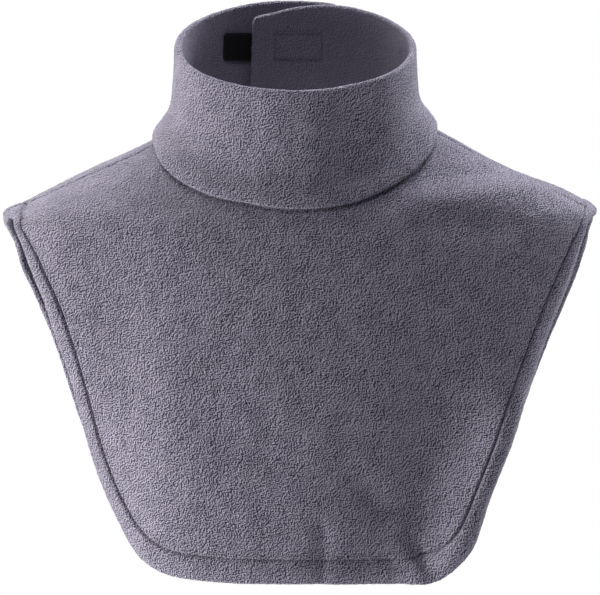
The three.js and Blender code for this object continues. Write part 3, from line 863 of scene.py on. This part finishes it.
def fuzz(name, piece, settings, seed):
    # single fibres that stand out of the pile, each a bent sliver
    random = np.random.default_rng(seed)
    mesh = piece.data
    places = np.empty(len(mesh.vertices) * 3)
    mesh.vertices.foreach_get("co", places)
    places = places.reshape(-1, 3) * 1000
    mesh.calc_loop_triangles()
    corners = np.empty(len(mesh.loop_triangles) * 3, dtype=np.int32)
    mesh.loop_triangles.foreach_get("vertices", corners)
    a, b, c = (places[corners.reshape(-1, 3)[:, k]] for k in range(3))
    cross = np.cross(b - a, c - a)
    size = np.linalg.norm(cross, axis=1) / 2
    count = int(size.sum() * settings["perSquare"])
    chosen = random.choice(len(size), count, p=size / size.sum())
    s, t = random.random((2, count, 1))
    s, t = np.where(s + t > 1, 1 - s, s), np.where(s + t > 1, 1 - t, t)
    root = a[chosen] + (b - a)[chosen] * s + (c - a)[chosen] * t
    normal = unit(cross[chosen])
    lean = unit(np.cross(normal, random.normal(size=(count, 3))))
    beside = np.cross(normal, lean) * settings["wide"] / 2
    rise = settings["long"] * (0.5 + random.random((count, 1)))
    tip = root + normal * rise * settings["up"] + lean * rise * settings["aside"]
    root = root - normal * settings["rooted"]
    points = np.stack([root - beside, root + beside, tip], axis=1).reshape(-1, 3)
    faces = np.arange(count * 3).reshape(-1, 3).tolist()
    return newPiece(name, points, faces, fibreFinish)


frontCut = {
    "edge": [  # psi and height of the free edge, from the left shoulder tip to the right one
        (-83, -48.5), (-71, -51), (-65.3, -62), (-62.3, -92), (-63.6, -123), (-63, -153),
        (-64, -183), (-63.2, -214), (-57.6, -242), (-50, -258), (-39, -266.5), (-21, -269),
        (4, -269), (30, -270), (43.5, -268.8), (50.9, -260.2), (57.2, -244), (58.5, -214),
        (61.3, -183), (62.6, -153), (63.7, -123), (64.8, -92), (68, -62), (75, -50), (98, -48),
    ],
    "neckFrom": -78.5,
    "neckTo": 82,
    "bowFrom": 3,
    "bowTo": 0,
    "fan": 0.85,
    "tracedColumns": 54,
    "columns": 380,
    "outerRows": 116,
    "groove": [  # share of the free edge, how deep the stitches draw the hem in
        (0, 0.4), (0.02, 0.7), (0.06, 2.2), (0.3, 2.4), (0.36, 1.8), (0.42, 0.6),
        (0.58, 0.5), (0.64, 1.5), (0.7, 2.8), (0.93, 2.8), (0.98, 1.4), (1, 0.6),
    ],
    "flat": (0.47, 0.31),
    "flatArea": 0.105,
}
backCut = {
    "edge": [  # from the right shoulder tip round the back to the left one
        (98, -48), (103, -58), (105, -80), (105, -125), (105, -170), (107, -193), (114, -213),
        (126, -229), (143, -238), (180, -242), (217, -238), (234, -229), (246, -213),
        (253, -193), (255, -170), (255, -125), (254.5, -86), (254.5, -66), (261, -53), (277, -48.5),
    ],
    "neckFrom": 82,
    "neckTo": 281.5,
    "bowFrom": 0,
    "bowTo": 3,
    "fan": 0.5,
    "tracedColumns": 44,
    "columns": 330,
    "outerRows": 100,
    "groove": [(0, 1.4), (0.4, 1.3), (0.6, 1.3), (1, 1.4)],
    "flat": (0.52, 0.32),
    "flatArea": 0.121,
}
hemSewing = {  # beside: how many rows or columns away the cloth's slope is read
    "pitch": 3.2, "length": 2.5, "thick": 0.24, "dip": 0.45, "lift": 0.1, "beside": 4,
}
shoulderSewing = {
    "pitch": 2.6, "length": 2.4, "thick": 0.34, "dip": 0.7, "lift": 0.2, "beside": 6,
    "slant": 0.8,
    "skip": 6,                   # rows that the collar covers
}
fibres = {"perSquare": 0.36, "long": 0.85, "wide": 0.16, "up": 0.62, "aside": 0.6, "rooted": 0.1}
napAmounts = [cloth["napLump"], cloth["napWave"], cloth["sag"]]

frontRings, frontStitchRow = panelRings(frontCut)
frontPanel = ringPiece("front_bib", frontRings, fleece)
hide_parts("front_panel")
print("front bib:", len(frontPanel.data.polygons), "faces")
backRings, backStitchRow = panelRings(backCut)
backPanel = ringPiece("back_bib", backRings, fleece)
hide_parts("back_panel")
print("back bib:", len(backPanel.data.polygons), "faces")
frontStitches = hemStitches("front_hem_stitches", frontRings, frontStitchRow, hemSewing)
backStitches = hemStitches("back_hem_stitches", backRings, backStitchRow, hemSewing)
seamPiece = seamStitches("shoulder_stitches", frontRings, shoulderSewing)
napUp(frontPanel, napAmounts, 1)
napUp(backPanel, napAmounts, 2)
frontFuzz = fuzz("front_fibres", frontPanel, fibres, 11)
backFuzz = fuzz("back_fibres", backPanel, fibres, 12)
print("stitches and fibres on the panels")


# The collar, with the sizes of the tapes that are sewn to it

tape = {
    "bottom": 49,
    "top": 67,
    "base": 0.72,
    "selvedge": 1.5,
    "bare": 0.5,                 # between the selvedge and the first loops
    "pileEdge": 0.6,
    "corner": 3,
    "endColumns": [0, 0.15, 0.4, 0.8],
    "endSpan": 1.3,
    "gap": 0.4,
    "sewnAt": 0.55,              # the stitches' place, as a share of the selvedge
    "borderSteps": 30,
    "rooted": 0.05,
}
loopCut = {"from": -195, "to": -140, "columns": 150, "rows": 52, "pile": 0.16, "lump": 0.16, "side": -1}
hookCut = {"from": 166, "to": 192.5, "columns": 80, "rows": 40, "pile": 0.06, "lump": 0.03, "side": 1}
patch = {  # what the hook tape's stitches do to the collar's inner face
    "perDegree": 1.28,
    "deep": 0.9,
    "wide": 1.7,
    "raised": 0.35,
    "edge": 3,
}
collarCut = {
    "outer": -201.5,
    "inner": 204.5,
    "columns": 300,
    "rows": 56,
    "endColumns": [0, 0.25, 0.6, 1.1, 2],
    "endRound": 1.9,             # degrees over which the band thins to each end
    "endThin": 0.12,             # how thin it gets there, squared
    "rowShift": 0.03,            # brings the rows closer at the foot and at the rim
    "rimTurns": [75, 60, 42, 22, 0, -22, -42, -60, -75],
    "footTurns": [30, 65, 100, 140],
    "footDrop": 1.2,
    "layerGap": 0.1,             # half the room between the two layers
    "hollowTop": 0.97,
    "flat": (0.53, 0.15),
    "flatArea": 0.0775,
}


def spiral(phi, share):
    # how far the collar lies outside its plain oval, so that its two ends pass each other
    spacing = lerp(overlap["footSpacing"], overlap["spacing"], smoothstep(share, 0.1, 0.4))
    goneIn = -spacing * smoothstep(phi, overlap["from"], overlap["to"])
    goneOut = spacing * (1 - smoothstep(phi + 360, overlap["from"], overlap["to"]))
    return np.where(phi > 0, goneIn, goneOut)


# the collar's foot all the way round, resting on the panels
footPhis = np.arange(-206, 209, 0.25)  # a little past both ends of the band
footSpots = neckline(footPhis)
footClear = cloth["layer"] / 2 + cloth["gap"] + cloth["collarHalf"]
footPoints = panelPoint(footSpots[:, 0], footSpots[:, 1])
footPoints += panelNormal(footSpots[:, 0], footSpots[:, 1]) * footClear


def collarPoint(phi, up):
    # the middle of the collar's doubled band, up from 0 at its foot to 1 at its rim
    phi, up = np.broadcast_arrays(np.asarray(phi, float), np.asarray(up, float))
    foot = readAt(phi, footPhis, footPoints)
    side, ahead = np.sin(np.radians(phi)), np.cos(np.radians(phi))
    topZ = rim["middle"] - rim["slant"] * ahead
    top = np.stack([rim["half"] * side, rim["centreY"] - rim["depth"] * ahead, topZ], axis=-1)
    lift = overlap["lift"] * smoothstep(phi, overlap["liftFrom"], overlap["from"])
    z = lerp(foot[..., 2] + lift, topZ - dropAt(phi), up)
    share = np.clip((z - foot[..., 2]) / (topZ - foot[..., 2]), 0, 1)
    out = unit(np.stack([side / rim["half"], -ahead / rim["depth"], 0 * side], axis=-1))
    away = spiral(phi, share)
    sewnDown = smoothstep(share, 0, 0.2)
    for foldPhi, foldUp, wide, tall, height in collarFolds:
        away = away + height * bell(phi - foldPhi, wide) * bell(share - foldUp, tall) * sewnDown
    point = lerp(foot, top, leanAt(share)[..., None])
    point[..., 2] = z
    return point + out * away[..., None]


def collarNormal(phi, up):
    return normalOf(collarPoint, phi, np.clip(up, 0.02, 0.98), 0.5, 0.02)


def sewnIn(phi, z):
    # how far the stitching of the hook tape draws in the cloth on the band's inner face
    alongDistance = np.minimum(phi - hookCut["from"], hookCut["to"] - phi) * patch["perDegree"]
    upDistance = np.minimum(z - tape["bottom"], tape["top"] - z)
    nearest = np.minimum(alongDistance, upDistance)
    inPatch = smoothstep(nearest, -patch["edge"], patch["edge"])
    return patch["deep"] * bell(nearest, patch["wide"]) - patch["raised"] * inPatch


def collarRings(cut):
    # a ring of points for each column of the band, from its outer end to its inner one
    close = np.array(cut["endColumns"])
    first, last = cut["outer"] + close[-1], cut["inner"] - close[-1]
    middle = lerp(first, last, np.arange(1, cut["columns"]) / cut["columns"])
    phis = np.concatenate([cut["outer"] + close, middle, cut["inner"] - close[::-1]])
    fromEnd = np.minimum(phis - cut["outer"], cut["inner"] - phis)
    thin = np.clip(1 - (1 - np.minimum(fromEnd / cut["endRound"], 1)) ** 2, cut["endThin"], 1)
    half = cloth["collarHalf"] * np.sqrt(thin)
    ups = np.linspace(0, 1, cut["rows"] + 1)
    ups = ups - cut["rowShift"] * np.sin(2 * math.pi * ups)
    rows = []

    def lift(up, offset):
        return collarPoint(phis, up) + collarNormal(phis, up) * np.asarray(offset)[..., None]

    def turned(turn):
        middle, normal = collarPoint(phis, 1), collarNormal(phis, 1)
        along = middle - collarPoint(phis, 0.97)
        along = unit(along - normal * np.sum(along * normal, axis=1, keepdims=True))
        a = math.radians(turn)
        return middle + (along * math.cos(a) + normal * math.sin(a)) * half[:, None]

    def footTurned(way, turn, inside):
        # the rounded lower edge of one layer
        foot, normal = collarPoint(phis, 0), collarNormal(phis, 0)
        fall = foot - collarPoint(phis, 0.03)
        fall = unit(fall - normal * np.sum(fall * normal, axis=1, keepdims=True))
        middle, radius = (half + inside) / 2, (half - inside) / 2
        a = math.radians(turn)
        offset = way * (middle + radius * math.cos(a))
        return foot + normal * offset[:, None] + fall * (cut["footDrop"] * radius * math.sin(a))[:, None]

    # one layer of cloth: up outside, over the rim, down inside, and back between the layers
    inside = cut["layerGap"] * half / cloth["collarHalf"]
    hollow = np.linspace(0, cut["hollowTop"], cut["rows"] // 3)
    for up in ups:
        rows.append(lift(up, half))
    for turn in cut["rimTurns"]:
        rows.append(turned(turn))
    for up in ups[::-1]:
        drawn = sewnIn(phis, collarPoint(phis, up)[..., 2])
        rows.append(lift(up, drawn - half))
    for turn in cut["footTurns"]:
        rows.append(footTurned(-1, turn, inside))
    for up in hollow:
        rows.append(lift(up, -inside))
    for up in hollow[::-1]:
        rows.append(lift(up, inside))
    for turn in reversed(cut["footTurns"]):
        rows.append(footTurned(1, turn, inside))
    return np.stack(rows, axis=1)


bandRings = collarRings(collarCut)[::-1]  # inner end first, so that the faces look outward
collarPiece = ringPiece("collar_band", bandRings, fleece)
# the band's inner face takes the darker copy of the fleece, which is painted shade
collarPiece.data.materials.append(paintedShadeInside)
innerFrom = collarCut["rows"] + len(collarCut["rimTurns"])
innerTo = innerFrom + collarCut["rows"] + 2
for face in collarPiece.data.polygons:
    if innerFrom <= face.index % bandRings.shape[1] < innerTo and face.loop_total == 4:
        face.material_index = 1
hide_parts("collar")
napUp(collarPiece, napAmounts, 3)
collarFuzz = fuzz("collar_fibres", collarPiece, fibres, 13)
print("collar:", len(collarPiece.data.polygons), "faces")


# The closing: loop tape inside the outer end, hook tape outside the inner end

onFace = cloth["collarHalf"] + tape["gap"]
loopForm = {
    "pitch": 0.95, "high": 0.36, "span": 1.0, "thick": 0.07, "stray": 0.3,
    "open": False, "turns": [0, 45, 90, 135, 180],
}
hookForm = {
    "pitch": 1.4, "high": 0.36, "span": 0.7, "thick": 0.08, "stray": 0,
    "open": True, "turns": [0, 40, 85, 130],
}
tapeSewing = {"pitch": 2.4, "length": 1.9, "thick": 0.17, "dip": 0.3, "lift": 0.02}
coverSewing = {"pitch": 2.9, "length": 2.2, "thick": 0.2, "dip": 0.4, "lift": 0.0}


def onCollar(phi, z, offset):
    # a place on one face of the collar at a given height, and the way out of the band there
    low, high = collarPoint(phi, 0)[..., 2], collarPoint(phi, 1)[..., 2]
    up = (z - low) / (high - low)
    out = collarNormal(phi, up)
    return collarPoint(phi, up) + out * np.asarray(offset)[..., None], out


def perDegree(phi):
    return float(np.linalg.norm(collarPoint(phi, 0.6) - collarPoint(phi - 1, 0.6)))


def tapePiece(name, cut):
    # a rounded strip of tape on the collar, thicker where its pile stands
    turn = perDegree(cut["to"])
    length = (cut["to"] - cut["from"]) * turn
    close, span = np.array(tape["endColumns"]), tape["endSpan"]
    along = np.concatenate([close, np.linspace(span, length - span, cut["columns"]), length - close[::-1]])
    phis = cut["from"] + along / turn
    fromEnd = np.minimum(along, length - along)
    short = np.maximum(0, tape["corner"] - fromEnd)
    clipped = tape["corner"] - np.sqrt(np.maximum(0, tape["corner"] ** 2 - short ** 2))
    t = np.linspace(0, 1, cut["rows"])[:, None]
    z = lerp(tape["bottom"] + clipped, tape["top"] - clipped, t)
    fromSide = np.minimum(z - tape["bottom"], tape["top"] - z)
    fromEdge = np.minimum(fromSide, fromEnd[None, :])
    inside = smoothstep(fromEdge, tape["selvedge"], tape["selvedge"] + tape["pileEdge"])
    random = np.random.default_rng(5)
    lumps = cut["lump"] * random.random(z.shape)
    high = tape["base"] + inside * (cut["pile"] + lumps)
    phiGrid = np.broadcast_to(phis, z.shape)
    under, _ = onCollar(phiGrid, z, np.full(z.shape, onFace * cut["side"]))
    over, _ = onCollar(phiGrid, z, cut["side"] * (onFace + high))
    near, far = (under, over) if cut["side"] > 0 else (over, under)
    rings = np.swapaxes(np.concatenate([near, far[::-1]]), 0, 1)
    return ringPiece(name, rings, tapeFinish)


def tapeBorder(cut, inset):
    # a closed line round a piece of tape, inside its edge, as phi and height
    turn = perDegree(cut["to"])
    a, b = cut["from"] + inset / turn, cut["to"] - inset / turn
    low, high = tape["bottom"] + inset, tape["top"] - inset
    corners = [(a, low), (b, low), (b, high), (a, high), (a, low)]
    steps = tape["borderSteps"]
    line = []
    for (p, q), (r, s) in zip(corners[:-1], corners[1:]):
        line += [(lerp(p, r, k / steps), lerp(q, s, k / steps)) for k in range(steps)]
    return np.array(line + [corners[-1]])


def borderStitches(name, cut, offset, side, settings, finish):
    # the sewing round a tape, on the tape itself or on the other face of the collar
    border = tapeBorder(cut, tape["selvedge"] * tape["sewnAt"])
    line, out = onCollar(border[:, 0], border[:, 1], np.full(len(border), float(offset)))
    spots, along, share = evenly(line, settings["pitch"])
    marks = distances(line)
    up = unit(readAt(share, marks / marks[-1], out)) * side
    return threadPiece(name, spots + up * settings["lift"], along, up, settings, finish)


def tapeLoops(name, cut, form):
    # the tape's own loops, or its hooks where they stay open at one end
    pitch, high, span, thick, stray = (form[key] for key in ("pitch", "high", "span", "thick", "stray"))
    turn = perDegree(cut["to"])
    edge = tape["selvedge"] + tape["bare"]
    across = np.arange(cut["from"] + edge / turn, cut["to"] - edge / turn, pitch / turn)
    upward = np.arange(tape["bottom"] + edge, tape["top"] - edge, pitch)
    phis, z = (grid.ravel() for grid in np.meshgrid(across, upward))
    random = np.random.default_rng(9)
    phis = phis + random.uniform(-stray, stray, phis.shape) * pitch / turn
    z = z + random.uniform(-stray, stray, z.shape) * pitch
    foot, out = onCollar(phis, z, np.full(z.shape, cut["side"] * (onFace + tape["base"] - tape["rooted"])))
    out = out * cut["side"]
    if form["open"]:
        heading = np.where(np.arange(len(z)) % 2 == 0, 0, math.pi)
    else:
        heading = random.uniform(0, math.pi, len(z))
    level = unit(np.cross(out, np.array([0, 0, 1.0])))
    rise = np.cross(level, out)
    way = level * np.cos(heading)[:, None] + rise * np.sin(heading)[:, None]
    aside = np.cross(way, out)
    turns = np.radians(form["turns"])
    points, faces = [], []
    for turned in turns:
        middle = foot - way * (span / 2 * math.cos(turned)) + out * (high * math.sin(turned))
        spread = way * math.cos(turned) - out * math.sin(turned)
        for k in range(3):
            a = 2 * math.pi * k / 3
            points.append(middle + (aside * math.cos(a) + spread * math.sin(a)) * thick)
    points = np.stack(points, axis=1)
    for n in range(len(z)):
        base = n * len(turns) * 3
        for i in range(len(turns) - 1):
            for k in range(3):
                a, b, m = base + i * 3, base + i * 3 + 3, (k + 1) % 3
                faces.append((a + k, a + m, b + m, b + k))
    return newPiece(name, points.reshape(-1, 3), faces, tapeFinish)


loopTape = tapePiece("loop_tape", loopCut)
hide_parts("loop_patch")
hookTape = tapePiece("hook_tape", hookCut)
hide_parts("hook_patch")
loopPile = tapeLoops("loop_pile", loopCut, loopForm)
hookPile = tapeLoops("hook_pile", hookCut, hookForm)
topOfTape = onFace + tape["base"]
loopBorder = borderStitches("loop_border", loopCut, -topOfTape, -1, tapeSewing, tapeThread)
hookBorder = borderStitches("hook_border", hookCut, topOfTape, 1, tapeSewing, tapeThread)
bandFace = cloth["collarHalf"]
loopCover = borderStitches("loop_cover_stitches", loopCut, bandFace, 1, coverSewing, threadFinish)
hookCover = borderStitches("hook_cover_stitches", hookCut, -bandFace, -1, coverSewing, threadFinish)
print("closing:", len(loopPile.data.polygons) + len(hookPile.data.polygons), "faces of loops and hooks")
# Light, floor and camera

daylight = (1, 0.985, 0.96)
skylight = (0.95, 0.955, 1)
lights = [  # name, degrees round from the camera to the right, degrees up, size, power and colour
    ("left_window", -80, -6, 0.6, 63, daylight),
    ("back_left", -122, 62, 0.7, 25, daylight),
    ("back_right", 150, 62, 0.7, 43, skylight),
    ("right_edge", 124, 36, 0.6, 30, skylight),
    ("right_low", 122, -5, 0.6, 14, skylight),
    ("front_top", -4, 57, 0.7, 14, skylight),
]
lightsAim, lightsAway = Vector((0, 0, -0.08)), 2
for name, toRight, up, size, power, colour in lights:
    lamp = bpy.data.lights.new(name, "AREA")
    lamp.shape, lamp.size, lamp.energy, lamp.color = "SQUARE", size, power, colour
    stand = bpy.data.objects.new(name, lamp)
    a, e = math.radians(toRight), math.radians(up)
    way = Vector((math.sin(a) * math.cos(e), -math.cos(a) * math.cos(e), math.sin(e)))
    stand.location = lightsAim + way * lightsAway
    stand.rotation_euler = (-way).to_track_quat("-Z", "Y").to_euler()
    bpy.context.scene.collection.objects.link(stand)

skySettings = {"tone": (0.90, 0.95, 1.0, 1), "strength": 0.02}
white = (1, 1, 1, 1)
world = bpy.data.worlds.new("studio")
bpy.context.scene.world = world
world.use_nodes = True
sky, skyLinks = world.node_tree.nodes, world.node_tree.links
sky["Background"].inputs["Color"].default_value = skySettings["tone"]
sky["Background"].inputs["Strength"].default_value = skySettings["strength"]
seen = sky.new("ShaderNodeBackground")  # white paper to the camera, while the dim sky lights the cloth
seen.inputs["Color"].default_value = white
seen.inputs["Strength"].default_value = 1.0
rays = sky.new("ShaderNodeLightPath")
either = sky.new("ShaderNodeMixShader")
skyLinks.new(rays.outputs["Is Camera Ray"], either.inputs["Fac"])
skyLinks.new(sky["Background"].outputs["Background"], either.inputs[1])
skyLinks.new(seen.outputs["Background"], either.inputs[2])
skyLinks.new(either.outputs["Shader"], sky["World Output"].inputs["Surface"])

floorSettings = {"height": -0.62, "reach": 14, "tone": (0.9, 0.9, 0.9, 1), "roughness": 0.9}
floorMesh = bpy.data.meshes.new("floor")
reach, low = floorSettings["reach"], floorSettings["height"]
floorCorners = [(-reach, -reach, low), (reach, -reach, low), (reach, reach, low), (-reach, reach, low)]
floorMesh.from_pydata(floorCorners, [], [(0, 1, 2, 3)])
floor = bpy.data.objects.new("floor", floorMesh)
bpy.context.scene.collection.objects.link(floor)
paper, paperNodes, paperLinks, paperShader = newMaterial("paper_floor")
paperShader.inputs["Base Color"].default_value = floorSettings["tone"]
paperShader.inputs["Roughness"].default_value = floorSettings["roughness"]
paperRays = paperNodes.new("ShaderNodeLightPath")
paperLit = paperNodes.new("ShaderNodeEmission")  # the same white, so the floor's edge doesn't show
paperLit.inputs["Color"].default_value = white
paperLit.inputs["Strength"].default_value = 1.0
paperMix = paperNodes.new("ShaderNodeMixShader")
paperLinks.new(paperRays.outputs["Is Camera Ray"], paperMix.inputs["Fac"])
paperLinks.new(paperShader.outputs["BSDF"], paperMix.inputs[1])
paperLinks.new(paperLit.outputs["Emission"], paperMix.inputs[2])
paperLinks.new(paperMix.outputs["Shader"], paperNodes["Material Output"].inputs["Surface"])
floorMesh.materials.append(paper)

cameraData = bpy.data.cameras.new("photo_camera")
cameraData.lens, cameraData.sensor_width = view["lens"], view["sensor"]
cameraData.clip_start, cameraData.clip_end = view["clipFrom"], view["clipTo"]
camera = bpy.data.objects.new("photo_camera", cameraData)
down = math.radians(view["looksDown"])
target = Vector(view["target"]) * 0.001
gaze = Vector((0, math.cos(down), -math.sin(down)))
camera.location = target - gaze * view["distance"] * 0.001
camera.rotation_euler = gaze.to_track_quat("-Z", "Y").to_euler()
bpy.context.scene.collection.objects.link(camera)
bpy.context.scene.camera = camera
bpy.context.scene.view_settings.view_transform = "Standard"
print("light, floor and camera placed")
